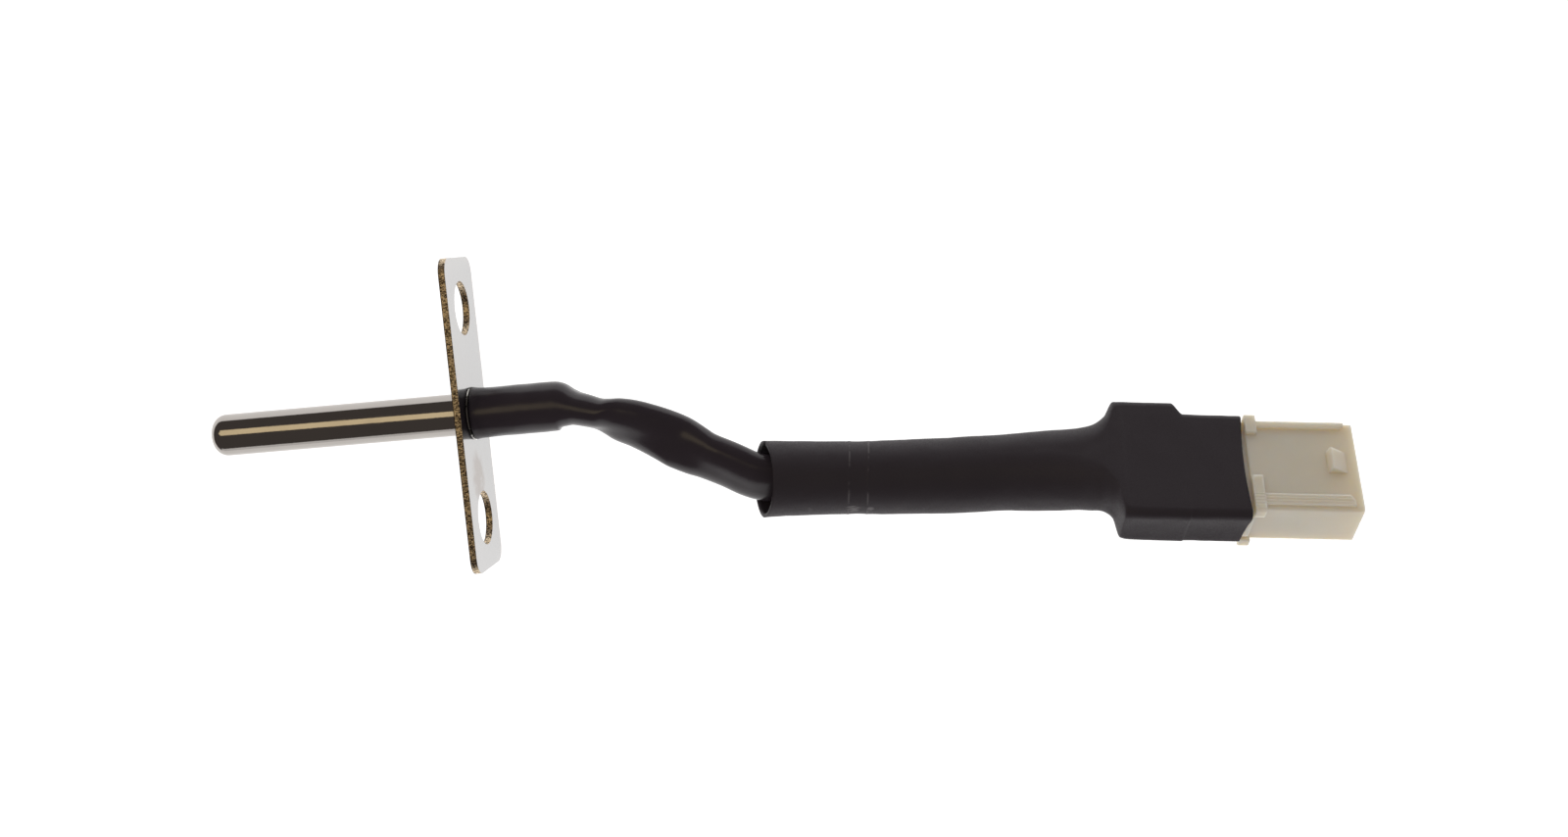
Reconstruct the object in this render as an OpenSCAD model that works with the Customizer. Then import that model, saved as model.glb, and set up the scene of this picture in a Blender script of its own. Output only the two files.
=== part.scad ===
/* [Probe] */
// Outside diameter of the probe sheath
sheath_d = 5; // [5:0.05:5.1]
// Outside diameter of the sheath's tail, stepped down behind the flange's seating face
tail_d = 4.6; // [4.5:0.05:4.6]
// Wall thickness of the sheath ahead of the step
sheath_wall = 0.5; // [0.45:0.05:0.5]
// Length of sheath ahead of the flange's seating face
probe_length = 31; // [28:0.5:40]
// Edge radius of the closed tip
tip_r = 1.6; // [0.8:0.1:1.8]

/* [Flange] */
// Length of the mounting flange
flange_length = 37; // [35:0.5:44]
// Width of the mounting flange
flange_width = 12; // [12:0.5:16]
// Sheet thickness of the flange
flange_thick = 0.8; // [0.6:0.1:0.8]
// Corner radius of the flange
flange_corner_r = 2; // [1:0.5:4]
// Distance between the two screw holes
hole_pitch = 25; // [22:0.5:26]
// Diameter of the screw holes
hole_d = 6.4; // [4.3:0.1:6.6]

/* [Lead] */
// Diameter over the insulation of one conductor
wire_d = 1.7; // [1.5:0.1:1.7]
// Diameter of the stranded core of one conductor
core_d = 0.9; // [0.7:0.1:1]
// Outside diameter of the shrunk sleeve over both conductors
lead_d = 5.2; // [5:0.1:5.4]
// Wall thickness of that sleeve
lead_wall = 0.6; // [0.5:0.05:0.6]
// Outside diameter of the wide sleeve ahead of the plug
plug_sleeve_d = 8.8; // [8.4:0.1:8.8]
// Wall thickness of the wide sleeve
plug_sleeve_wall = 0.5; // [0.4:0.05:0.5]

/* [Plug] */
// Width of the plug's shroud
shroud_w = 11.8; // [11.4:0.1:11.8]
// Height of the plug's shroud
shroud_h = 6.6; // [6.4:0.1:6.6]
// Wall thickness of the shroud
shroud_wall = 1; // [0.8:0.1:1.1]
// Depth of the open mouth
mouth_depth = 10; // [8:0.5:10.5]
// Distance between the two contacts
contact_pitch = 6.2; // [5.8:0.1:6.2]
// Diameter of the contact pins
pin_d = 1.3; // [1:0.1:1.5]

/* [Hidden] */
$fn = 64;
SMALL = 0.01;

sheath_r = sheath_d / 2;
tail_r = tail_d / 2;
seat_recess = 0.15;
seat_gap = 0.1;
bore_r = sheath_r - sheath_wall;
wire_r = wire_d / 2;
core_r = core_d / 2;
wire_offset = 0.95;
fit_gap = 0.03;

// Stations along the probe's axis, measured from the flange's seating face
sheath_tail = 11;
bead_length = 8;
bead_pitch = 8.2;
bead_front_x = -25.5;
junction_x = bead_front_x - 2.5;
junction_r = 0.45;
junction_reach = 1.5;
element_r = 0.25;
element_end_x = 1.2;
splice_x = -0.8;
splice_length = 5.3;
splice_r = 0.85;
splice_middle_x = 1.4;
core_start_x = 1.7;
wire_start_x = 5;
seal_start_x = 6;
braze_r = 3.15;
braze_x = flange_thick + 0.2;
braze_edge = 0.06;
braze_top = 0.3;

// Route of the lead's centre line, and how far the pair of conductors has turned at each point
LEAD_ROUTE = [
    [wire_start_x, 0, 0], [8, 0, 0], [sheath_tail, 0, 0], [12.5, -0.3, 0], [14.5, -0.9, 0],
    [17, -1.8, 0], [20, -2.9, 0], [23.5, -4.65, 0], [27, -6.8, 0], [30.5, -8.6, 0],
    [34, -10.4, 0], [38, -11.1, 0], [43, -11.4, -0.3], [48, -11.7, -0.6], [53, -12, -0.8],
    [58, -12.2, -0.8]
];
LEAD_TURN = [90, 90, 90, 90, 78, 49, 34, 10, 36, 41, 41, 30, 5, -20, -38, -41];

// Where the conductors part, in the plug's own frame: [x, middle y, middle z, half spread]
FAN_STATIONS = [
    [-39.3, 2.2, -3, 1.1], [-34.8, 1.9, -2.2, 1.5], [-31, 1.6, -1.3, 1.9], [-28.5, 1, -0.5, 2.4],
    [-26, 0, 0, contact_pitch / 2], [-24.5, 0, 0, contact_pitch / 2]
];

// The plug's own frame: X towards its mouth, Y across its width, origin at the mouth
PLUG_AT = [101.4, -16.6, 0.3];
PLUG_TURN = [-41.4, 4.1, -6.6];
shroud_length = 12.2;
block_rear_x = -25.8;
block_front_x = -20.4;
block_y = [-6.8, 7.9];
block_z = [-1.8, 3];
neck_y = [-6.8, 6.3];
edge_r = 0.5;
block_edge_r = 0.8;
tab_thick = 1.2;
tab_proud = 0.65;
tab_gap_y = [-1.9, 4];
tab_gap_z = [-2.5, 2.4];
low_tab_shift = 0.7;
rail_left_y = [4.9, 5.7];
rail_right_y = [4.1, 5.5];
rail_h = 0.35;
rail_end_x = -1;
rail_point = 0.5;
ramp_x = [-3.4, -1.3];
ramp_y = [-1, 1.8];
ramp_h = 1.1;
ramp_slope = 0.3;
ramp_low_h = 0.1;
ramp_end_h = 0.05;
passage_r = 1.2;
barrel_r = 1.15;
barrel_front_x = -9;
barrel_rear_x = -24;
pin_tip_x = -1.5;
core_end_x = -21.5;

// Shape of the wide sleeve along the plug's X: [x, y, z, half width, half height, corner radius]
tube_r = plug_sleeve_d / 2;
waist_r = tube_r - 0.15;
SLEEVE_STATIONS = [
    [-67, 1.6, -4.4, tube_r, tube_r, tube_r], [-60, 1.9, -4.35, waist_r, waist_r, waist_r],
    [-53, 2.2, -4.35, waist_r, waist_r, waist_r], [-46, 2.4, -4.05, tube_r, tube_r, tube_r],
    [-40, 2.5, -3.4, tube_r, tube_r, tube_r], [-35, 2.3, -2.5, 4.6, 4.4, 4.2],
    [-31, 1.8, -1.2, 4.8, 4.1, 3.95], [-29, 1.5, -0.2, 5.15, 3.7, 3.5],
    [-27.9, 1.5, 0.4, 5.8, 3.2, 2.8], [-27.1, 1.8, 0.6, 6.85, 3.05, 2],
    [-26.5, 0.75, 0.6, 7.85, 3.05, 1.3], [-25.8, 0.6, 0.6, 7.95, 3, 1.1],
    [-20.4, 0.55, 0.6, 7.95, 3, 1.1], [-19.2, -0.2, 0.6, 7.2, 3, 1.1], [-12.4, -0.25, 0.6, 7.15, 3, 1.1]
];
RING_POINTS = 32;
TUBE_SIDES = 12;
WIRE_SIDES = 8;

// ---------- helpers ----------

function unit(v) = v / norm(v);
function turn_x(a, p) = [p[0], p[1] * cos(a) - p[2] * sin(a), p[1] * sin(a) + p[2] * cos(a)];
function turn_y(a, p) = [p[0] * cos(a) + p[2] * sin(a), p[1], p[2] * cos(a) - p[0] * sin(a)];
function turn_z(a, p) = [p[0] * cos(a) - p[1] * sin(a), p[0] * sin(a) + p[1] * cos(a), p[2]];
function from_plug(p) = PLUG_AT + turn_z(PLUG_TURN[2], turn_y(PLUG_TURN[1], turn_x(PLUG_TURN[0], p)));

function route_tangent(route, i) =
    unit(route[min(i + 1, len(route) - 1)] - route[max(i - 1, 0)]);
function route_side(route, i) = unit(cross([0, 0, 1], route_tangent(route, i)));
function route_up(route, i) = cross(route_tangent(route, i), route_side(route, i));
function around(route, i, a, r) =
    route[i] + r * (cos(a) * route_side(route, i) + sin(a) * route_up(route, i));
function ring_at(route, i, r, sides) =
    [for (k = [0:sides - 1]) around(route, i, 360 * (k + 0.5) / sides, r)];
function reversed(list) = [for (i = [len(list) - 1:-1:0]) list[i]];

// One closed skin over a list of rings; a looped skin joins its last ring to its first
module skin(rings, looped = false) {
    count = len(rings);
    sides = len(rings[0]);
    spans = looped ? count : count - 1;
    walls = [
        for (i = [0:spans - 1], k = [0:sides - 1])
            let (a = i * sides, b = ((i + 1) % count) * sides, n = (k + 1) % sides)
                each [[a + k, a + n, b + n], [a + k, b + n, b + k]]
    ];
    ends = looped ? [] : [
        [for (k = [sides - 1:-1:0]) k],
        [for (k = [0:sides - 1]) (count - 1) * sides + k]
    ];
    polyhedron(points = [for (ring = rings) each ring], faces = concat(walls, ends), convexity = 6);
}

// A revolved piece about the probe's axis, from a half section drawn as [radius, x]
module about_axis() {
    rotate([0, 90, 0]) rotate_extrude() children();
}

module rod(r, x0, x1) {
    translate([x0, 0, 0]) rotate([0, 90, 0]) cylinder(r = r, h = x1 - x0);
}

module rounded_rect(w, h, r) {
    square([w - 2 * r, h], center = true);
    square([w, h - 2 * r], center = true);
    for (sx = [-1, 1], sy = [-1, 1])
        translate([sx * (w / 2 - r), sy * (h / 2 - r)]) circle(r = r);
}

module in_plug_frame() {
    translate(PLUG_AT) rotate(PLUG_TURN) children();
}

// A length of rounded section along the plug's X, between two limits in Y and in Z
module plug_bar(x0, x1, ys, zs, r) {
    translate([x0, (ys[0] + ys[1]) / 2, (zs[0] + zs[1]) / 2]) rotate([90, 0, 90])
        linear_extrude(x1 - x0) rounded_rect(ys[1] - ys[0], zs[1] - zs[0], r);
}

// ---------- probe ----------

module probe_sheath() {
    inner_r = tip_r - sheath_wall;
    color([0.75, 0.74, 0.72]) about_axis() difference() {
        union() {
            translate([0, tip_r - probe_length]) square([sheath_r, probe_length - tip_r + seat_recess]);
            square([tail_r, sheath_tail]);
            translate([0, -probe_length]) square([sheath_r - tip_r, tip_r + SMALL]);
            translate([sheath_r - tip_r, tip_r - probe_length]) circle(r = tip_r);
        }
        translate([0, tip_r - probe_length]) square([bore_r, probe_length - tip_r + sheath_tail + 1]);
        translate([0, sheath_wall - probe_length]) square([sheath_r - tip_r, inner_r + SMALL]);
        translate([sheath_r - tip_r, tip_r - probe_length]) circle(r = inner_r);
        translate([-sheath_d, -2 * probe_length]) square([sheath_d, 4 * probe_length]);
    }
}

// Two-hole strip; a shallow recess in its seating face takes the step of the sheath
module mounting_flange() {
    color([0.78, 0.78, 0.77]) difference() {
        rotate([90, 0, 90]) linear_extrude(flange_thick) difference() {
            rounded_rect(flange_length, flange_width, flange_corner_r);
            circle(r = tail_r);
            for (s = [-1, 1]) translate([s * hole_pitch / 2, 0]) circle(d = hole_d);
        }
        rod(sheath_r + seat_gap, -1, seat_recess);
    }
}

module braze_ring() {
    color([0.85, 0.84, 0.8]) about_axis() polygon([
        [tail_r, flange_thick], [braze_r, flange_thick], [braze_r, flange_thick + braze_edge],
        [tail_r + braze_top, braze_x], [tail_r, braze_x]
    ]);
}

module element_rod(side) {
    translate([0, 0, side * wire_offset]) rod(element_r, junction_x, element_end_x);
}

// Welded cross bar that joins the two elements in the tip
module junction_bar() {
    translate([junction_x, 0, -junction_reach]) cylinder(r = junction_r, h = 2 * junction_reach);
}

module tip_cement() {
    inner_r = tip_r - sheath_wall;
    color([0.86, 0.83, 0.76]) difference() {
        about_axis() intersection() {
            union() {
                translate([0, tip_r - probe_length]) square([bore_r, bead_front_x - tip_r + probe_length]);
                translate([0, sheath_wall - probe_length]) square([sheath_r - tip_r, inner_r + SMALL]);
                translate([sheath_r - tip_r, tip_r - probe_length]) circle(r = inner_r);
            }
            translate([0, -probe_length]) square([sheath_r, probe_length]);
        }
        junction_bar();
        element_rod(1);
        element_rod(-1);
    }
}

module hot_junction() {
    color([0.55, 0.53, 0.5]) difference() {
        junction_bar();
        element_rod(1);
        element_rod(-1);
    }
}

module thermoelement_positive() {
    color([0.7, 0.66, 0.6]) element_rod(1);
}

module thermoelement_negative() {
    color([0.6, 0.6, 0.58]) element_rod(-1);
}

// Two-bore ceramic bead, one of a row
module insulator_bead(index) {
    x0 = bead_front_x + index * bead_pitch;
    color([0.93, 0.91, 0.86]) difference() {
        rod(bore_r - fit_gap, x0, x0 + bead_length);
        for (s = [-1, 1])
            translate([0, 0, s * wire_offset]) rod(element_r + fit_gap, x0 - 1, x0 + bead_length + 1);
    }
}

// Barrel that joins an element to its copper conductor
module splice_crimp(side) {
    color([0.8, 0.62, 0.4]) translate([0, 0, side * wire_offset]) difference() {
        rod(splice_r, splice_x, splice_x + splice_length);
        rod(element_r + fit_gap, splice_x - 1, splice_middle_x);
        rod(core_r + fit_gap, splice_middle_x, splice_x + splice_length + 1);
    }
}

module end_seal() {
    color([0.12, 0.12, 0.12]) difference() {
        rod(bore_r, seal_start_x, sheath_tail);
        for (s = [-1, 1])
            translate([0, 0, s * wire_offset]) rod(wire_r + fit_gap, seal_start_x - 1, sheath_tail + 1);
    }
}

// ---------- lead ----------

// Centre line of one conductor: turned about the route, then fanned out to its contact
function wire_along_route(side) = [
    for (i = [0:len(LEAD_ROUTE) - 1]) around(LEAD_ROUTE, i, LEAD_TURN[i], side * wire_offset)
];
function wire_in_fan(side) = [for (st = FAN_STATIONS) from_plug([st[0], st[1] + side * st[3], st[2]])];
function wire_route(side) = concat(wire_along_route(side), wire_in_fan(side));

module wire_core(side) {
    route = concat(
        [[core_start_x, 0, side * wire_offset]],
        wire_route(side),
        [from_plug([core_end_x, side * contact_pitch / 2, 0])]
    );
    skin([for (i = [0:len(route) - 1]) ring_at(route, i, core_r, WIRE_SIDES)]);
}

module wire_core_positive() {
    color([0.8, 0.55, 0.35]) wire_core(1);
}

module wire_core_negative() {
    color([0.8, 0.55, 0.35]) wire_core(-1);
}

module wire_insulation(side) {
    route = wire_route(side);
    outer = [for (i = [0:len(route) - 1]) ring_at(route, i, wire_r, WIRE_SIDES)];
    inner = [for (i = [0:len(route) - 1]) ring_at(route, i, core_r + fit_gap, WIRE_SIDES)];
    skin(concat(outer, reversed(inner)), looped = true);
}

module wire_insulation_positive() {
    color([0.75, 0.1, 0.1]) wire_insulation(1);
}

module wire_insulation_negative() {
    color([0.9, 0.9, 0.88]) wire_insulation(-1);
}

// Shrunk sleeve: over the tail of the sheath, down a neck and along both conductors
module lead_sleeve() {
    sheathed = [for (x = [braze_x, wire_start_x, sheath_tail]) [x, 0, 0]];
    free = [for (i = [0:len(LEAD_ROUTE) - 1]) if (LEAD_ROUTE[i][0] > sheath_tail) i];
    full_r = tail_r / cos(180 / TUBE_SIDES) + fit_gap;
    slim_r = lead_d / 2 - lead_wall;
    outer = concat(
        [for (i = [0:len(sheathed) - 1]) ring_at(sheathed, i, full_r + lead_wall, TUBE_SIDES)],
        [for (i = free) ring_at(LEAD_ROUTE, i, slim_r + lead_wall, TUBE_SIDES)]
    );
    inner = concat(
        [for (i = [0:len(sheathed) - 1]) ring_at(sheathed, i, full_r, TUBE_SIDES)],
        [for (i = free) ring_at(LEAD_ROUTE, i, slim_r, TUBE_SIDES)]
    );
    color([0.07, 0.07, 0.07]) skin(concat(outer, reversed(inner)), looped = true);
}

// ---------- plug ----------

// Four corner tabs that stop the shroud in its mating half; the lower two sit further back
module stop_tabs() {
    w = shroud_w + 2 * tab_proud;
    h = shroud_h + 2 * tab_proud;
    for (low = [0, 1])
        translate([-shroud_length - low * low_tab_shift, 0, 0]) rotate([90, 0, 90])
            linear_extrude(tab_thick) difference() {
                rounded_rect(w, h, edge_r);
                translate([tab_gap_y[0], -h]) square([tab_gap_y[1] - tab_gap_y[0], 2 * h]);
                translate([-w, tab_gap_z[0]]) square([2 * w, tab_gap_z[1] - tab_gap_z[0]]);
                translate([-w, low ? 0 : -h]) square([2 * w, h]);
            }
}

// Guide rail on the wide face, between two limits in Y, with a pointed end towards the mouth
module guide_rail(ys) {
    start_x = tab_thick - shroud_length;
    translate([0, 0, shroud_h / 2 - SMALL]) linear_extrude(rail_h + SMALL) polygon([
        [start_x, ys[0]], [rail_end_x - rail_point, ys[0]], [rail_end_x, (ys[0] + ys[1]) / 2],
        [rail_end_x, ys[1]], [start_x, ys[1]]
    ]);
}

module lock_ramp() {
    translate([0, ramp_y[1], shroud_h / 2 - SMALL]) rotate([90, 0, 0]) linear_extrude(ramp_y[1] - ramp_y[0])
        polygon([
            [ramp_x[0], 0], [ramp_x[1], 0], [ramp_x[1], ramp_end_h],
            [ramp_x[0] + ramp_slope, ramp_h], [ramp_x[0], ramp_low_h]
        ]);
}

module plug_housing() {
    half_w = shroud_w / 2;
    half_h = shroud_h / 2;
    mouth_w = half_w - shroud_wall;
    mouth_h = half_h - shroud_wall;
    color([0.8, 0.75, 0.64]) in_plug_frame() difference() {
        union() {
            plug_bar(-shroud_length, 0, [-half_w, half_w], [-half_h, half_h], edge_r);
            plug_bar(block_front_x, -shroud_length, neck_y, block_z, block_edge_r);
            plug_bar(block_rear_x, block_front_x, block_y, block_z, block_edge_r);
            stop_tabs();
            guide_rail(rail_left_y);
            mirror([0, 1, 0]) guide_rail(rail_right_y);
            lock_ramp();
        }
        plug_bar(-mouth_depth, 1, [-mouth_w, mouth_w], [-mouth_h, mouth_h], edge_r);
        for (s = [-1, 1])
            translate([0, s * contact_pitch / 2, 0]) rod(passage_r, block_rear_x - 1, 1 - mouth_depth);
    }
}

// Revolved contact: crimp barrel, body and round pin with a rounded tip
module contact(side) {
    color([0.82, 0.8, 0.74]) in_plug_frame() translate([0, side * contact_pitch / 2, 0]) difference() {
        union() {
            rod(barrel_r, barrel_rear_x, barrel_front_x);
            rod(pin_d / 2, barrel_front_x, pin_tip_x - pin_d / 2);
            translate([pin_tip_x - pin_d / 2, 0, 0]) sphere(r = pin_d / 2);
        }
        rod(core_r + fit_gap, barrel_rear_x - 1, core_end_x + fit_gap);
    }
}

module contact_positive() {
    contact(1);
}

module contact_negative() {
    contact(-1);
}

// Closed section of the wide sleeve at one station, drawn in by inset
function sleeve_ring(st, inset) =
    let (half_w = st[3] - inset, half_h = st[4] - inset, r = max(st[5] - inset, edge_r)) [
        for (k = [0:RING_POINTS - 1])
            let (a = 360 * (k + 0.5) / RING_POINTS)
                from_plug([
                    st[0],
                    st[1] + sign(cos(a)) * (half_w - r) + r * cos(a),
                    st[2] + sign(sin(a)) * (half_h - r) + r * sin(a)
                ])
    ];

module plug_sleeve() {
    outer = [for (st = SLEEVE_STATIONS) sleeve_ring(st, 0)];
    inner = [for (st = SLEEVE_STATIONS) sleeve_ring(st, plug_sleeve_wall)];
    color([0.09, 0.09, 0.09]) skin(concat(outer, reversed(inner)), looped = true);
}

probe_sheath();
mounting_flange();
braze_ring();
tip_cement();
hot_junction();
thermoelement_positive();
thermoelement_negative();
insulator_bead(0);  // insulator_bead_front
insulator_bead(1);  // insulator_bead_middle
insulator_bead(2);  // insulator_bead_rear
splice_crimp(1);  // splice_crimp_positive
splice_crimp(-1);  // splice_crimp_negative
end_seal();
wire_core_positive();
wire_core_negative();
wire_insulation_positive();
wire_insulation_negative();
lead_sleeve();
plug_housing();
contact_positive();
contact_negative();
plug_sleeve();
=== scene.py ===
"""Looks for a flange-mounted probe: steel probe and strip, twisted glossy lead, sleeved nylon plug."""

import math

import bpy
import numpy as np
from mathutils import Euler, Matrix, Vector
from mathutils import noise as fields


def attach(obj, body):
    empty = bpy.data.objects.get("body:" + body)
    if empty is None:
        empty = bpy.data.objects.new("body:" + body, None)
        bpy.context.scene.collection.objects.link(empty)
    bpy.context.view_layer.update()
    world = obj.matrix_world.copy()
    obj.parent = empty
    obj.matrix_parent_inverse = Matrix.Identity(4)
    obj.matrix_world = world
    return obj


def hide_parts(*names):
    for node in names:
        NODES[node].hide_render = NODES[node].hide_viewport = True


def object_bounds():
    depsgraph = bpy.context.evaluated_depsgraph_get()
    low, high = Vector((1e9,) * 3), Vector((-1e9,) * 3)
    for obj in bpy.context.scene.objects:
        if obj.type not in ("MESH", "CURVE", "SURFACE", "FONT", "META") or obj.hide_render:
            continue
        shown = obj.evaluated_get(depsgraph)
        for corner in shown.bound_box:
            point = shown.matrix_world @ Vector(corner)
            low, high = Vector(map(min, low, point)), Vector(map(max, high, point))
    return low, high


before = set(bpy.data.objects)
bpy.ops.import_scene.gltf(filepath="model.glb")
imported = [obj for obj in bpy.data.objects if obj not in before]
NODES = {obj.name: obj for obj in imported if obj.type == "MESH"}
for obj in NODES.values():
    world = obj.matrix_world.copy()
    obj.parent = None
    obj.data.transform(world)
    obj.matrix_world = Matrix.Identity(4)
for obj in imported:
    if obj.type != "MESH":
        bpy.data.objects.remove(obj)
CAD_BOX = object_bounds()
BODY = "root"
MM = 0.001
UP = Vector((0, 0, 1))

# Lead: the centre line's points in metres
BRAZE_TOP = 0.001
SHEATH_END = 0.011
TAIL_R = 0.0023
SLEEVE_FIT = 0.00011
LEAD_WALL = 0.0006
LEAD_ROUTE = [
    (0.005, 0, 0), (0.008, 0, 0), (0.011, 0, 0), (0.0125, -0.0003, 0), (0.0145, -0.0009, 0),
    (0.017, -0.0018, 0), (0.020, -0.0029, 0), (0.0235, -0.00465, 0), (0.027, -0.0068, 0),
    (0.0305, -0.0086, 0), (0.034, -0.0104, 0), (0.038, -0.0111, 0), (0.043, -0.0114, -0.0003),
    (0.048, -0.0117, -0.0006), (0.053, -0.012, -0.0008), (0.058, -0.0122, -0.0008),
]
# Section of its sleeve at stations along X: [x in mm, degrees turned, half width, half height in mm]
LEAD_SHAPE = [
    (1, 90, 3.1, 3.1), (1.8, 90, 2.98, 2.98), (5, 90, 2.95, 2.95), (10.4, 90, 2.95, 2.95),
    (10.95, 90, 2.97, 2.93), (11.5, 90, 2.97, 2.76), (12.1, 89, 2.97, 2.46), (12.7, 88, 2.97, 2.24),
    (13.3, 86, 3, 2.08), (14.4, 82, 3.05, 2.04), (15.6, 78, 3.1, 1.95), (16.7, 63, 3.2, 1.9),
    (17.9, 50, 3.25, 2), (19, 45, 3.3, 2.05), (20.2, 40, 3.3, 2.05), (21.3, 33, 3.25, 2),
    (22.5, 26, 3.25, 1.98), (23.6, 17, 3.22, 1.95), (24.8, 10, 3.2, 1.95), (25.9, 17, 3.2, 1.98),
    (27, 27, 3.2, 2.02), (28.1, 38, 3.22, 2.08), (29.3, 41, 3.25, 2.1), (33, 41, 3.25, 2.1),
    (38, 30, 3.12, 1.92), (43, 5, 3.05, 1.85), (48, -20, 3, 1.8), (53, -38, 3, 1.8), (58, -41, 3, 1.8),
]
LEAD_PATH = [(BRAZE_TOP, 0, 0)] + LEAD_ROUTE
LEAD_STEP = 0.0003
LEAD_SIDES = 96
LEAD_RIPPLE = 0.00005
RIPPLE_CELLS = 420  # noise cells to a metre
FLAT_SIDES = 0.35  # how much fuller than an ellipse a flattened section is
WAIST_DEPTH = 0.22
WAIST_SPREAD = 0.4  # as a share of the half width

# Plug: its own frame, and where the conductors fan out in it
PLUG_AT = Vector((0.1014, -0.0166, 0.0003))
PLUG_TURN = Euler([math.radians(a) for a in (-41.4, 4.1, -6.6)]).to_matrix()
CONTACT_HALF_PITCH = 0.0031
FAN_STATIONS = [
    (-0.0393, 0.0022, -0.003, 0.0011), (-0.0348, 0.0019, -0.0022, 0.0015),
    (-0.031, 0.0016, -0.0013, 0.0019), (-0.0285, 0.001, -0.0005, 0.0024),
    (-0.026, 0, 0, CONTACT_HALF_PITCH), (-0.0245, 0, 0, CONTACT_HALF_PITCH),
]
CORE_END = -0.0215
CORE_START = 0.0017
WIRE_OFFSET = 0.00095
WIRE_R = 0.00085
CORE_R = 0.00045
WIRE_FIT = 0.00003
WIRE_SIDES = 24
WIRE_STEP = 0.0008


# ---------- mesh helpers ----------


def slopes(keys, values):
    """Tangents of a smooth curve through the values that never swings past them."""
    step = np.diff(values, axis=0) / np.diff(keys)[:, None]
    tangents = np.zeros_like(values)
    before, after = step[:-1], step[1:]
    same_way = before * after > 0
    total = np.where(same_way, before + after, 1)
    tangents[1:-1] = np.where(same_way, 2 * before * after / total, 0)
    tangents[0] = step[0]
    tangents[-1] = step[-1]
    return tangents


def smooth(keys, values, at):
    """Values at the positions named, on the smooth curve through a short table."""
    keys, at = np.asarray(keys, float), np.asarray(at, float)
    values = np.asarray(values, float)
    tangents = slopes(keys, values)
    i = np.clip(np.searchsorted(keys, at) - 1, 0, len(keys) - 2)
    span = (keys[i + 1] - keys[i])[:, None]
    t = (at[:, None] - keys[i][:, None]) / span
    found = (
        (2 * t**3 - 3 * t**2 + 1) * values[i]
        + (t**3 - 2 * t**2 + t) * span * tangents[i]
        + (3 * t**2 - 2 * t**3) * values[i + 1]
        + (t**3 - t**2) * span * tangents[i + 1]
    )
    return found.tolist()


def lengths_along(points):
    """Distance along a line of points, from its first point."""
    steps = np.linalg.norm(np.diff(np.asarray(points, float), axis=0), axis=1)
    return np.concatenate([[0], np.cumsum(steps)])


def finer(path, step):
    """Points about one step apart on the smooth curve through a path."""
    keys = lengths_along(path)
    return smooth(keys, path, np.linspace(0, keys[-1], int(keys[-1] / step) + 1))


def finished(name, points, faces):
    """A mesh object of these points and faces, riding on the part's one body."""
    mesh = bpy.data.meshes.new(name)
    mesh.from_pydata([tuple(p) for p in points], [], faces)
    mesh.polygons.foreach_set("use_smooth", [True] * len(mesh.polygons))
    mesh.update()
    made = bpy.data.objects.new(name, mesh)
    bpy.context.scene.collection.objects.link(made)
    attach(made, BODY)
    return made


def skin(name, rings, looped=False):
    """One closed skin over rings of equal count; a looped skin joins its last ring to its first."""
    count, sides = len(rings), len(rings[0])
    faces = []
    for i in range(count if looped else count - 1):
        a, b = i * sides, (i + 1) % count * sides
        faces += [(a + k, a + (k + 1) % sides, b + (k + 1) % sides, b + k) for k in range(sides)]
    if not looped:
        faces.append(tuple(reversed(range(sides))))
        faces.append(tuple((count - 1) * sides + k for k in range(sides)))
    points = [p for ring in rings for p in ring]
    return finished(name, points, faces)


def frames_along(path):
    """At each point of a path: the point, and the sideways and upward directions across it."""
    path = [Vector(p) for p in path]
    found = []
    for i, point in enumerate(path):
        ahead, behind = path[min(i + 1, len(path) - 1)], path[max(i - 1, 0)]
        tangent = (ahead - behind).normalized()
        side = UP.cross(tangent).normalized()
        found.append((point, side, tangent.cross(side)))
    return found


def ring_round(place, radius, sides):
    """Circle of points across a path, at one place on it."""
    point, side, up = place
    turns = [math.tau * (k + 0.5) / sides for k in range(sides)]
    return [point + radius * (math.cos(a) * side + math.sin(a) * up) for a in turns]


def from_plug(x, y, z):
    """The place in the part's own frame of a point named in the plug's."""
    return PLUG_AT + PLUG_TURN @ Vector((x, y, z))


# ---------- camera ----------


def make_camera():
    """The main view: nearly straight down, from 0.22 m."""
    data = bpy.data.cameras.new("camera")
    data.sensor_width = 36
    data.lens = 43.906
    data.clip_start = 0.01
    data.clip_end = 20
    camera = bpy.data.objects.new("camera", data)
    bpy.context.scene.collection.objects.link(camera)
    right = Vector((0.9914, -0.0951, -0.0898))
    up = Vector((0.0856, 0.9908, -0.1047))
    back = right.cross(up).normalized()
    up = back.cross(right).normalized()
    right.normalize()
    turn = Matrix((right, up, back)).transposed().to_4x4()
    camera.matrix_world = Matrix.Translation((0.05956, 0.01767, 0.22104)) @ turn
    bpy.context.scene.camera = camera


# ---------- lead ----------


def lead_shape(xs):
    """The sleeve's turn in radians, half width and half height in metres, at each X in metres."""
    rows = smooth([row[0] for row in LEAD_SHAPE], [row[1:] for row in LEAD_SHAPE], [x / MM for x in xs])
    return [(math.radians(turn), wide * MM, high * MM) for turn, wide, high in rows]


def lobed_oval(half_width, half_height, a):
    """Section of a sleeve shrunk on to two round conductors: an oval with a slight waist."""
    flatness = 1 - half_height / half_width
    p = half_width * math.cos(a)
    q = half_height * math.copysign(abs(math.sin(a)) ** (1 - FLAT_SIDES * flatness), math.sin(a))
    waist = 1 - WAIST_DEPTH * flatness * math.exp(-((p / (WAIST_SPREAD * half_width)) ** 2))
    return p, q * waist


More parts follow.
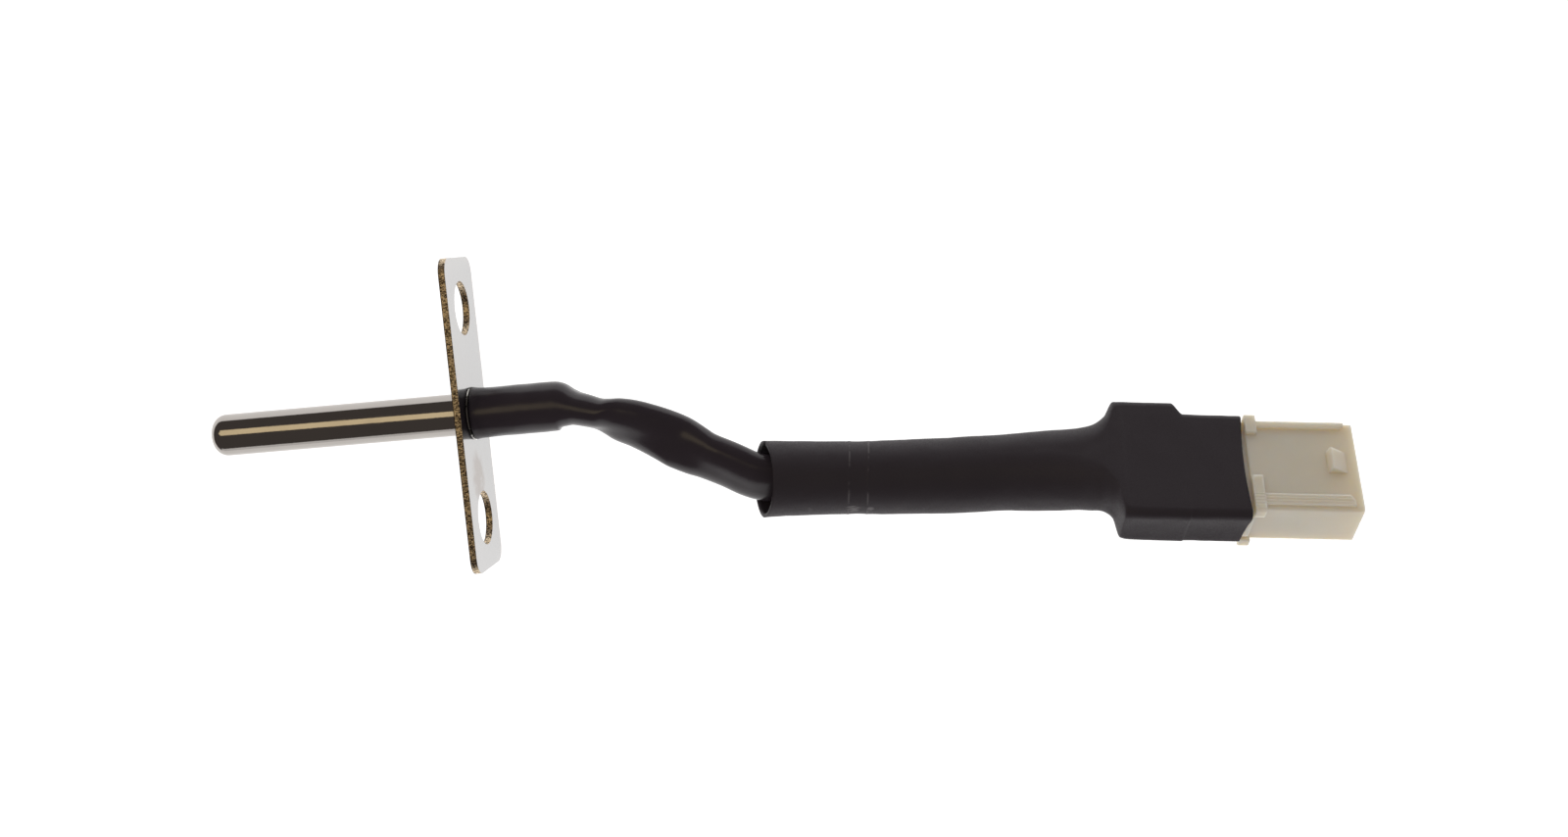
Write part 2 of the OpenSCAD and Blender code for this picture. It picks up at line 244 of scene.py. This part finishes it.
def lead_ring(place, turn, half_width, half_height, ripple):
    """Turned section of the lead's sleeve at one place, rippled by the height named."""
    point, side, up = place
    major = math.cos(turn) * side + math.sin(turn) * up
    minor = math.cos(turn) * up - math.sin(turn) * side
    ring = []
    for k in range(LEAD_SIDES):
        p, q = lobed_oval(half_width, half_height, math.tau * k / LEAD_SIDES)
        spot = point + p * major + q * minor
        if ripple:
            away = (spot - point).normalized()
            spot = spot + away * ripple * fields.noise(spot * RIPPLE_CELLS)
        ring.append(spot)
    return ring


def make_lead_cover():
    """The glossy sleeve, from the braze over the sheath's tail and along both conductors."""
    centres = finer(LEAD_PATH, LEAD_STEP)
    shapes = lead_shape([point[0] for point in centres])
    outer, inner = [], []
    for place, (turn, half_width, half_height) in zip(frames_along(centres), shapes):
        outer.append(lead_ring(place, turn, half_width, half_height, LEAD_RIPPLE))
        wall = LEAD_WALL if place[0].x > SHEATH_END else half_height - TAIL_R - SLEEVE_FIT
        inner.append(lead_ring(place, turn, half_width - wall, half_height - wall, 0))
    cover = skin("lead_cover", outer + inner[::-1], looped=True)
    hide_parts("lead_sleeve")
    return cover


def wire_path(side):
    """Centre line of one conductor, turned about the route and then fanned out to its contact."""
    path = []
    turns = lead_shape([point[0] for point in LEAD_ROUTE])
    for (point, across, up), (turn, _, _) in zip(frames_along(LEAD_ROUTE), turns):
        path.append(point + side * WIRE_OFFSET * (math.cos(turn) * across + math.sin(turn) * up))
    path += [from_plug(x, y + side * spread, z) for x, y, z, spread in FAN_STATIONS]
    return path


def make_conductor(side, sign):
    """One conductor: its stranded core and the insulation round it."""
    covered = frames_along(finer(wire_path(side), WIRE_STEP))
    outer = [ring_round(place, WIRE_R, WIRE_SIDES) for place in covered]
    inner = [ring_round(place, CORE_R + WIRE_FIT, WIRE_SIDES) for place in covered]
    insulation = skin(f"insulation_{sign}", outer + inner[::-1], looped=True)
    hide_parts(f"wire_insulation_{sign}")
    core_path = [Vector((CORE_START, 0, side * WIRE_OFFSET))] + wire_path(side)
    core_path.append(from_plug(CORE_END, side * CONTACT_HALF_PITCH, 0))
    bare = frames_along(finer(core_path, WIRE_STEP))
    core = skin(f"core_{sign}", [ring_round(place, CORE_R, WIRE_SIDES) for place in bare])
    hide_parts(f"wire_core_{sign}")
    return insulation, core


# ---------- wide sleeve ----------

# Along the plug's X: [x, y, z, half width, half height, corner radius], in millimetres
SLEEVE_STATIONS = [
    (-67, 1.6, -4.4, 4.45, 4.45, 4.4), (-64, 1.75, -4.38, 4.35, 4.35, 4.3),
    (-60, 1.9, -4.35, 4.27, 4.27, 4.2), (-56, 2.05, -4.35, 4.24, 4.24, 4.2),
    (-53, 2.2, -4.35, 4.3, 4.3, 4.25), (-46, 2.4, -4.05, 4.38, 4.38, 4.3),
    (-43.5, 2.45, -3.8, 4.45, 4.45, 4.4), (-40, 2.5, -3.4, 4.4, 4.4, 4.3),
    (-35, 2.3, -2.5, 4.58, 4.45, 4.3), (-31, 1.8, -1.2, 4.78, 4.1, 4), (-29, 1.48, -0.2, 5.15, 3.7, 3.5),
    (-27.9, 1.48, 0.4, 5.8, 3.2, 2.8), (-27.1, 1.8, 0.6, 6.85, 3.05, 2),
    (-26.5, 0.75, 0.6, 7.85, 3.05, 1.3), (-25.8, 0.68, 0.6, 7.87, 3, 1.1),
    (-20.3, 0.63, 0.6, 7.87, 3, 1.1), (-19, -0.13, 0.6, 7.13, 3, 1.1), (-12.4, -0.18, 0.6, 7.08, 3, 1.1),
]
SLEEVE_WALL = 0.42
SLEEVE_SPANS = [
    (-67, -58, 0.3), (-58, -54, 0.08), (-54, -31, 0.3), (-31, -25, 0.08), (-25, -21, 0.25),
    (-21, -18.6, 0.08), (-18.6, -12.39, 0.2),
]
CORNER_POINTS = 24
FLAT_POINTS = 10
TOP_ANGLE = 131.4  # the sleeve's top side, in degrees about the plug's X
SHARPEST_CORNER = 0.3

# Its open end: how far the cut leans, and the nick in its edge
OPEN_REACH = 6
OBLIQUE = 1.2
NICK_ANGLE = 40  # in degrees
NICK_SPREAD = 0.07  # in radians
NICK_DEPTH = 0.35

# Its edge at the plug
EDGE_REACH = 4
EDGE_BACK = 0.45
EDGE_SLANT = 0.4
EDGE_LEAN = 0.02
EDGE_HOLLOW = 0.4

# Its surface: waves as [height, noise cells to a metre], ring creases as [x, height]
WAVES = [(0.05, 300), (0.02, 900)]
CREASES = [(-57.1, 0.05), (-54.9, 0.04)]
CREASE_WIDTH = 0.13
PATCH_CELLS = 450

# On the block's lower side: a sag between the corners, and a slanted step
BLOCK_START = -27
BLOCK_REACH = 1.5
LOWER_SIDE = -0.8
SAG_DEPTH = 0.2
SAG_SPREAD = 0.85
STEP_AT = -19.3
STEP_SLANT = 0.1
STEP_HEIGHT = 0.12
STEP_WIDTH = 0.06


def around_rect(half_width, half_height, radius):
    """Points round a rounded rectangle, always as many on each corner and on each flat side."""
    corners = []
    for quarter, (side, top) in enumerate(((1, 1), (-1, 1), (-1, -1), (1, -1))):
        turns = [math.pi / 2 * (quarter + j / CORNER_POINTS) for j in range(CORNER_POINTS + 1)]
        middle = Vector((side * (half_width - radius), top * (half_height - radius)))
        corners.append([middle + radius * Vector((math.cos(a), math.sin(a))) for a in turns])
    points = []
    for corner, following in zip(corners, corners[1:] + corners[:1]):
        points += corner
        points += [corner[-1].lerp(following[0], j / FLAT_POINTS) for j in range(1, FLAT_POINTS)]
    return points


def open_end_shift(x, angle):
    """Oblique cut and a nick at the open end, fading away from it."""
    fade = max(0, 1 - (x - SLEEVE_STATIONS[0][0]) / OPEN_REACH) ** 2
    nick = math.exp(-(((angle - math.radians(NICK_ANGLE)) / NICK_SPREAD) ** 2))
    lean = OBLIQUE * math.cos(angle - math.radians(TOP_ANGLE))
    return fade**4 * NICK_DEPTH * nick + fade * lean


def plug_end_shift(x, across, high):
    """Edge of the sleeve at the plug: hollowed over the wide face, drawn back at its lower corner."""
    fade = max(0, 1 + (x - SLEEVE_STATIONS[-1][0]) / EDGE_REACH) ** 2
    hollow = EDGE_HOLLOW * (1 - across**2) if high > 0 else 0
    return fade * (-EDGE_BACK + EDGE_SLANT * high + EDGE_LEAN * across - hollow)


def sleeve_bulge(x, across, high, spot):
    """Outward offset from the plain section: waves, ring creases, and the block's sag and step."""
    bulge = sum(height * fields.noise(spot * cells) for height, cells in WAVES)
    patchy = min(max(0.6 + 1.6 * fields.noise(spot * PATCH_CELLS), 0), 1.2)
    for at, height in CREASES:
        bulge += patchy * height * math.exp(-(((x - at) / CREASE_WIDTH) ** 2))
    boxed = min(max((x - BLOCK_START) / BLOCK_REACH, 0), 1)
    if across < LOWER_SIDE:
        bulge -= boxed * SAG_DEPTH * max(0, 1 - (high / SAG_SPREAD) ** 2)
        past_step = x - STEP_AT + STEP_SLANT * (1 - high)
        bulge += boxed * STEP_HEIGHT / (1 + math.exp(past_step / STEP_WIDTH))
    return bulge


def sleeve_ring(row, inset):
    """Section of the wide sleeve, drawn in by inset."""
    x, y, z, half_width, half_height, radius = row
    wide, tall = half_width - inset, half_height - inset
    ring = []
    for point in around_rect(wide, tall, max(radius - inset, SHARPEST_CORNER)):
        across, high = point.x / wide, point.y / tall
        angle = math.atan2(point.y, point.x) % math.tau
        shift = open_end_shift(x, angle) + plug_end_shift(x, across, high)
        if not inset:
            spot = from_plug(x * MM, (y + point.x) * MM, (z + point.y) * MM)
            point = point + point.normalized() * sleeve_bulge(x, across, high, spot)
        ring.append(from_plug((x + shift) * MM, (y + point.x) * MM, (z + point.y) * MM))
    return ring


def make_plug_cover():
    """The wide sleeve: open round the lead, shrunk over the plug's rear block."""
    at = np.unique(np.concatenate([np.arange(*span) for span in SLEEVE_SPANS]).round(4))
    table = smooth([row[0] for row in SLEEVE_STATIONS], SLEEVE_STATIONS, at)
    outer = [sleeve_ring(row, 0) for row in table]
    inner = [sleeve_ring(row, SLEEVE_WALL) for row in table]
    cover = skin("plug_cover", outer + inner[::-1], looped=True)
    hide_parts("plug_sleeve")
    return cover


# ---------- materials ----------


class Paint:
    """A node material with one Principled shader, and short calls for the nodes behind it."""

    def __init__(self, name, **settings):
        self.material = bpy.data.materials.new(name)
        self.material.use_nodes = True
        self.tree = self.material.node_tree
        self.shader = self.tree.nodes["Principled BSDF"]
        self.set(self.shader, {k.replace("_", " "): v for k, v in settings.items()})
        self.place = self.add("TexCoord")["Object"]

    def set(self, node, inputs):
        for key, value in inputs.items():
            if isinstance(value, bpy.types.NodeSocket):
                self.tree.links.new(value, node.inputs[key])
            else:
                node.inputs[key].default_value = value

    def add(self, kind, inputs=None, **properties):
        node = self.tree.nodes.new("ShaderNode" + kind)
        for key, value in properties.items():
            setattr(node, key, value)
        self.set(node, inputs or {})
        return node.outputs

    def use(self, **links):
        self.set(self.shader, {k.replace("_", " "): v for k, v in links.items()})

    def math(self, operation, *values):
        return self.add("Math", dict(enumerate(values)), operation=operation)[0]

    def noise(self, size, detail=3, stretch=(1, 1, 1), roughness=0.5):
        """Noise from 0 to 1 whose features are about size metres, longer along the stretched axes."""
        scale = [1 / (size * s) for s in stretch]
        moved = self.add("Mapping", {"Vector": self.place, "Scale": scale})[0]
        inputs = {"Vector": moved, "Scale": 1, "Detail": detail, "Roughness": roughness}
        return self.add("TexNoise", inputs)[0]

    def remap(self, value, low, high, to_low=0, to_high=1):
        inputs = {0: value, 1: low, 2: high, 3: to_low, 4: to_high}
        return self.add("MapRange", inputs, interpolation_type="SMOOTHSTEP")[0]

    def mix(self, share, first, second):
        inputs = {0: share, 6: self.colour(first), 7: self.colour(second)}
        return self.add("Mix", inputs, data_type="RGBA")[2]

    def colour(self, value):
        return value if isinstance(value, bpy.types.NodeSocket) else (*value, 1)

    def bump(self, height, distance, strength=1, normal=None):
        inputs = {"Height": height, "Distance": distance, "Strength": strength}
        if normal is not None:
            inputs["Normal"] = normal
        return self.add("Bump", inputs)[0]

    def in_plug_frame(self):
        """The place's three coordinates along the plug's own axes."""
        local = self.add("VectorMath", {0: self.place, 1: PLUG_AT}, operation="SUBTRACT")[0]
        axes = [{0: local, 1: PLUG_TURN.col[i]} for i in range(3)]
        return [self.add("VectorMath", axis, operation="DOT_PRODUCT")["Value"] for axis in axes]

    def rounded(self, radius):
        """Normals that round off sharp edges."""
        return self.add("Bevel", {"Radius": radius}, samples=4)[0]

    def near(self, point, reach):
        """1 at a point, falling to 0 at the distance named."""
        far = self.add("VectorMath", {0: self.place, 1: point}, operation="DISTANCE")["Value"]
        return self.remap(far, 0, reach, 1, 0)


def sheath_paint():
    """Drawn stainless tube, its fine grain along its length."""
    paint = Paint("sheath_steel", Metallic=1)
    grain = paint.noise(0.00025, 4, stretch=(6, 1, 1))
    speck = paint.noise(0.00012, 2)
    cloud = paint.noise(0.004, 3)
    paint.use(
        Base_Color=paint.mix(cloud, (0.425, 0.40, 0.375), (0.38, 0.355, 0.335)),
        Roughness=paint.remap(paint.math("MULTIPLY", grain, cloud), 0.1, 0.5, 0.05, 0.13),
        Normal=paint.bump(paint.math("ADD", grain, speck), 0.0000022, 0.6, paint.rounded(0.00008)),
    )
    return paint


def flange_paint():
    """Polished sheet; round its outline and in its holes the sheared edge is painted near-black as
    painted shade, with golden flecks as painted glints of the warm lamp.
    """
    paint = Paint("flange_steel", Metallic=1)
    facing = paint.add("SeparateXYZ", {0: paint.add("NewGeometry")["Normal"]})[0]
    edge = paint.remap(paint.math("ABSOLUTE", facing), 0.75, 0.85, 1, 0)
    along = paint.add("SeparateXYZ", {0: paint.place})[0]
    flecks = paint.noise(0.00016, 4, stretch=(1.6, 0.9, 1), roughness=0.75)
    shear = paint.noise(0.0006, 3, stretch=(0.5, 0.4, 1), roughness=0.6)
    ragged = paint.math("ADD", along, paint.math("MULTIPLY", shear, 0.0002))
    # On the low-X side of a ragged break line across the edge, one near-black tone: painted shade.
    shaded_zone = paint.remap(ragged, 0.0002, 0.00014)
    # Golden flecks over the near-black edge: painted glints of the warm lamp, laid along the shear
    # texture.
    glint_flecks = paint.remap(flecks, 0.43, 0.57)
    edge_shade_and_glints = paint.mix(glint_flecks, (0.06, 0.045, 0.033), (1, 0.80, 0.54))
    edge_shade_and_glints = paint.mix(shaded_zone, edge_shade_and_glints, (0.08, 0.06, 0.045))
    grain = paint.noise(0.00022, 3)
    # A faint brownish patch on the face below the sleeve.
    brown_patch_place = paint.near((0.0008, -0.0075, 0.001), 0.005)
    brown_patch = paint.math("MULTIPLY", brown_patch_place, paint.noise(0.0016, 3))
    face_tone = paint.mix(grain, (0.485, 0.48, 0.475), (0.445, 0.44, 0.435))
    face_tone = paint.mix(paint.remap(brown_patch, 0.1, 0.45, 0, 0.65), face_tone, (0.30, 0.25, 0.22))
    relief = paint.math("MULTIPLY", paint.math("MULTIPLY", flecks, edge), 14)
    smoothness = paint.math("MULTIPLY", grain, 0.06)
    paint.use(
        Base_Color=paint.mix(edge, face_tone, edge_shade_and_glints),
        Roughness=paint.math("ADD", paint.remap(edge, 0, 1, 0.09, 0.3), smoothness),
        Normal=paint.bump(paint.math("ADD", grain, relief), 0.000004, 0.7, paint.rounded(0.0001)),
    )
    return paint


def braze_paint():
    """Braze alloy: bright metal in patches, painted near-black between them as painted shade, so the
    ring shows as broken glints.
    """
    paint = Paint("braze_alloy", Metallic=1)
    patches = paint.noise(0.0012, 3)
    shine = paint.remap(patches, 0.44, 0.54)
    paint.use(
        # Between the bright patches the metal is painted near-black: painted shade.
        Base_Color=paint.mix(shine, (0.05, 0.045, 0.04), (0.80, 0.78, 0.74)),
        Roughness=paint.remap(shine, 0, 1, 0.5, 0.18),
        Normal=paint.bump(patches, 0.00006, 0.8),
    )
    return paint


def gloss_sleeve_paint():
    """Smooth dark shrink sleeve with a soft shine."""
    paint = Paint("gloss_sleeve", Specular_IOR_Level=0.35)
    cloud = paint.noise(0.003, 3)
    grain = paint.noise(0.00018, 3)
    paint.use(
        Base_Color=paint.mix(cloud, (0.031, 0.0235, 0.030), (0.036, 0.028, 0.034)),
        Roughness=paint.remap(cloud, 0.3, 0.7, 0.2, 0.27),
        Normal=paint.bump(paint.math("ADD", grain, cloud), 0.000008, 0.5),
    )
    return paint


def matte_sleeve_paint():
    """Dull shrink sleeve with a few pale scuffs along its lower side, and lighter lines along its ring
    creases as painted highlight.
    """
    paint = Paint("matte_sleeve", Specular_IOR_Level=0.33)
    cloud = paint.noise(0.005, 3)
    grain = paint.noise(0.00016, 4)
    scratches = paint.noise(0.00022, 4, stretch=(5, 1, 1), roughness=0.65)
    side_y, side_z = -0.0022, -0.0045
    worn = paint.near(from_plug(-0.0565, side_y, side_z), 0.0024)
    for at in (-0.0615, -0.0545):
        worn = paint.math("MAXIMUM", worn, paint.near(from_plug(at, side_y, side_z), 0.0014))
    scuffs_and_crease_sheen = paint.remap(paint.math("MULTIPLY", worn, scratches), 0.36, 0.56)
    x = paint.in_plug_frame()[0]
    # Lighter lines along the ring creases: painted highlight on the folds, in the scuffs' pale colour.
    for at, _ in CREASES:
        off = paint.math("ABSOLUTE", paint.math("SUBTRACT", x, at * MM))
        line = paint.remap(off, 0.00004, 0.00014, 0.45, 0)
        patches = paint.remap(paint.noise(0.0018, 3), 0.44, 0.6)
        scuffs_and_crease_sheen = paint.math("MAXIMUM", scuffs_and_crease_sheen, paint.math("MULTIPLY", line, patches))
    tone = paint.mix(cloud, (0.032, 0.0245, 0.031), (0.037, 0.029, 0.036))
    paint.use(
        # One pale colour for the real scuffs and for the painted highlight on the creases.
        Base_Color=paint.mix(scuffs_and_crease_sheen, tone, (0.16, 0.15, 0.155)),
        Roughness=paint.remap(grain, 0.3, 0.7, 0.5, 0.66),
        Normal=paint.bump(paint.math("ADD", grain, cloud), 0.00002, 0.5),
    )
    return paint


def nylon_paint():
    """Translucent nylon; fine ribs run along the lower rail."""
    paint = Paint(
        "plug_nylon", Subsurface_Weight=1, Subsurface_Radius=(1, 0.8, 0.55), Subsurface_Scale=0.0025
    )
    cloud = paint.noise(0.003, 3)
    grain = paint.noise(0.0002, 3)
    x, y, z = paint.in_plug_frame()
    ribs = paint.math("SINE", paint.math("MULTIPLY", y, math.tau / 0.0004))
    for value, low, high in ((y, -0.0041, -0.0043), (x, -0.0012, -0.0015), (z, 0.0031, 0.0032)):
        ribs = paint.math("MULTIPLY", ribs, paint.remap(value, low, high))
    height = paint.math("ADD", grain, paint.math("MULTIPLY", ribs, 4))
    paint.use(
        Base_Color=paint.mix(cloud, (0.745, 0.695, 0.595), (0.70, 0.645, 0.535)),
        Roughness=paint.remap(cloud, 0.3, 0.7, 0.34, 0.46),
        Normal=paint.bump(height, 0.000008, 0.6, paint.rounded(0.0003)),
    )
    return paint


def metal_paint(name, light, dark, smoothest, size, stretch=(1, 1, 1)):
    """Metal whose tone, roughness and bump vary with one grain."""
    paint = Paint(name, Metallic=1)
    grain = paint.noise(size, 4, stretch)
    paint.use(
        Base_Color=paint.mix(grain, light, dark),
        Roughness=paint.remap(grain, 0.3, 0.7, smoothest, smoothest + 0.15),
        Normal=paint.bump(grain, 0.000008, 0.6, paint.rounded(0.00006)),
    )
    return paint


def plain_paint(name, light, dark, smoothest, size, height=0.00001):
    """Plastic, ceramic or resin whose tone, roughness and bump vary with one grain."""
    paint = Paint(name)
    grain = paint.noise(size, 4)
    paint.use(
        Base_Color=paint.mix(grain, light, dark),
        Roughness=paint.remap(grain, 0.3, 0.7, smoothest, smoothest + 0.15),
        Normal=paint.bump(grain, height, 0.6),
    )
    return paint


def paint_piece(piece, paint):
    """A piece made here takes one material."""
    piece.data.materials.clear()
    piece.data.materials.append(paint.material)


def paint_node(name, paint):
    """A CAD node keeps its mesh and takes a material in its slots."""
    node = NODES[name]
    if not node.material_slots:
        node.data.materials.append(paint.material)
    for slot in node.material_slots:
        slot.material = paint.material


# ---------- stage ----------


def make_floor():
    """A pale light table that the part lies on."""
    floor = bpy.data.objects.new("floor", bpy.data.meshes.new("floor"))
    reach, z = 3, CAD_BOX[0][2] - 0.00005
    corners = [(-reach, -reach, z), (reach, -reach, z), (reach, reach, z), (-reach, reach, z)]
    floor.data.from_pydata(corners, [], [(0, 1, 2, 3)])
    bpy.context.scene.collection.objects.link(floor)
    material = bpy.data.materials.new("floor")
    material.use_nodes = True
    shader = material.node_tree.nodes["Principled BSDF"]
    shader.inputs["Base Color"].default_value = (0.5, 0.5, 0.5, 1)
    shader.inputs["Roughness"].default_value = 1
    shader.inputs["Emission Color"].default_value = (1, 1, 1, 1)
    places = material.node_tree.nodes.new("ShaderNodeTexCoord")
    away = material.node_tree.nodes.new("ShaderNodeVectorMath")
    away.operation = "DISTANCE"
    away.inputs[1].default_value = (0.05, 0, z)
    glow = material.node_tree.nodes.new("ShaderNodeMapRange")
    for key, value in {"From Min": 0.12, "From Max": 0.5, "To Min": 1, "To Max": 0.45}.items():
        glow.inputs[key].default_value = value
    material.node_tree.links.new(places.outputs["Object"], away.inputs[0])
    material.node_tree.links.new(away.outputs["Value"], glow.inputs["Value"])
    material.node_tree.links.new(glow.outputs["Result"], shader.inputs["Emission Strength"])
    floor.data.materials.append(material)


def make_world():
    """Dim even light for matt surfaces, a dark room in reflections, white behind the part."""
    world = bpy.data.worlds.new("room")
    world.use_nodes = True
    bpy.context.scene.world = world
    tree = world.node_tree
    background = tree.nodes["Background"]
    rays = tree.nodes.new("ShaderNodeLightPath")

    def choose(share, first, second):
        """The second colour where share is 1, else the first, which may be a socket."""
        mix = tree.nodes.new("ShaderNodeMix")
        mix.data_type = "RGBA"
        tree.links.new(share, mix.inputs[0])
        if isinstance(first, bpy.types.NodeSocket):
            tree.links.new(first, mix.inputs[6])
        else:
            mix.inputs[6].default_value = first
        mix.inputs[7].default_value = second
        return mix.outputs[2]

    room = choose(rays.outputs["Is Glossy Ray"], (0.38, 0.37, 0.375, 1), (0.092, 0.080, 0.074, 1))
    seen = choose(rays.outputs["Is Camera Ray"], room, (1, 1, 1, 1))
    tree.links.new(seen, background.inputs["Color"])


def make_lamp(name, direction, distance, size, power, colour):
    """A soft rectangular lamp that faces the part."""
    data = bpy.data.lights.new(name, "AREA")
    data.shape = "RECTANGLE"
    data.size, data.size_y = size
    data.energy = power
    data.color = colour
    lamp = bpy.data.objects.new(name, data)
    bpy.context.scene.collection.objects.link(lamp)
    towards = Vector(direction).normalized()
    lamp.rotation_mode = "QUATERNION"
    lamp.rotation_quaternion = towards.to_track_quat("Z", "Y")
    lamp.location = towards * distance


# ---------- the whole ----------

make_camera()
lead_cover = make_lead_cover()
insulation_positive, core_positive = make_conductor(1, "positive")
insulation_negative, core_negative = make_conductor(-1, "negative")
plug_cover = make_plug_cover()

paint_piece(lead_cover, gloss_sleeve_paint())
paint_piece(plug_cover, matte_sleeve_paint())
red = plain_paint("insulation_red", (0.5, 0.05, 0.04), (0.4, 0.03, 0.03), 0.4, 0.001)
white = plain_paint("insulation_white", (0.8, 0.79, 0.76), (0.7, 0.69, 0.66), 0.4, 0.001)
paint_piece(insulation_positive, red)
paint_piece(insulation_negative, white)
copper = metal_paint("core_copper", (0.78, 0.45, 0.3), (0.6, 0.32, 0.2), 0.25, 0.0003, (6, 1, 1))
paint_piece(core_positive, copper)
paint_piece(core_negative, copper)

paint_node("probe_sheath", sheath_paint())
paint_node("mounting_flange", flange_paint())
paint_node("braze_ring", braze_paint())
paint_node("plug_housing", nylon_paint())
tin = metal_paint("contact_tin", (0.80, 0.79, 0.76), (0.66, 0.65, 0.62), 0.2, 0.0003)
paint_node("contact_positive", tin)
paint_node("contact_negative", tin)
cement = plain_paint("tip_cement", (0.84, 0.8, 0.72), (0.7, 0.66, 0.58), 0.7, 0.0004, 0.00004)
paint_node("tip_cement", cement)
junction = metal_paint("junction_alloy", (0.45, 0.43, 0.41), (0.25, 0.23, 0.21), 0.3, 0.0003)
paint_node("hot_junction", junction)
for sign, light, dark in (
    ("positive", (0.62, 0.58, 0.53), (0.5, 0.46, 0.42)),
    ("negative", (0.52, 0.52, 0.5), (0.42, 0.42, 0.4)),
):
    alloy = metal_paint(f"element_alloy_{sign}", light, dark, 0.25, 0.0002, (8, 1, 1))
    paint_node(f"thermoelement_{sign}", alloy)
bead = plain_paint("bead_ceramic", (0.92, 0.9, 0.84), (0.84, 0.81, 0.74), 0.55, 0.0005, 0.00002)
for name in ("insulator_bead_front", "insulator_bead_middle", "insulator_bead_rear"):
    paint_node(name, bead)
brass = metal_paint("crimp_brass", (0.76, 0.6, 0.36), (0.62, 0.47, 0.26), 0.25, 0.0003)
paint_node("splice_crimp_positive", brass)
paint_node("splice_crimp_negative", brass)
resin = plain_paint("seal_resin", (0.05, 0.05, 0.05), (0.03, 0.03, 0.03), 0.35, 0.0006)
paint_node("end_seal", resin)

make_floor()
make_world()
make_lamp("ceiling_lamp", (-0.32, 0.23, 0.92), 1.2, (0.44, 0.75), 1.15, (1, 0.82, 0.5))
make_lamp("side_panel", (0.1, -0.99, 0.12), 1, (1.6, 0.24), 1, (1, 1, 1))
bpy.context.scene.view_settings.view_transform = "Standard"
